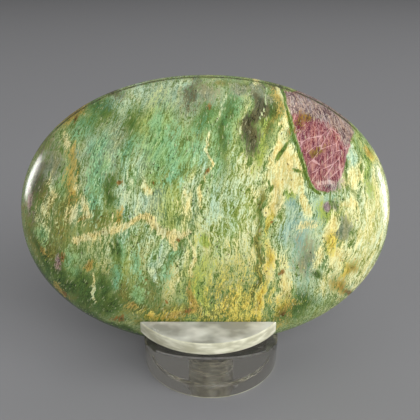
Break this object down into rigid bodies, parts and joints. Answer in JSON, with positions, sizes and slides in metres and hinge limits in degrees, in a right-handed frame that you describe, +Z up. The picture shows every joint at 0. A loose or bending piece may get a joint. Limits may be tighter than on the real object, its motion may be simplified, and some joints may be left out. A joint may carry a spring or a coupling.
{
  "type": "palm stone on a display stand",
  "caption": "Polished oval ruby fuchsite palm stone leaning back in the slot of a small round clear acrylic display stand.",
  "frame": {"origin": "on the surface the stand rests on, under the middle of the whole", "axes": "+X along the stone's width and the slot, +Y towards the back that the stone leans to, +Z up"},
  "size_m": [0.0716, 0.0312, 0.0567],
  "materials": {
    "ruby_fuchsite": "polished",
    "clear_acrylic": "clear, polished"
  },
  "bodies": {
    "root": {"palm_stone": "ruby_fuchsite", "stand": "clear_acrylic"}
  },
  "joints": []
}
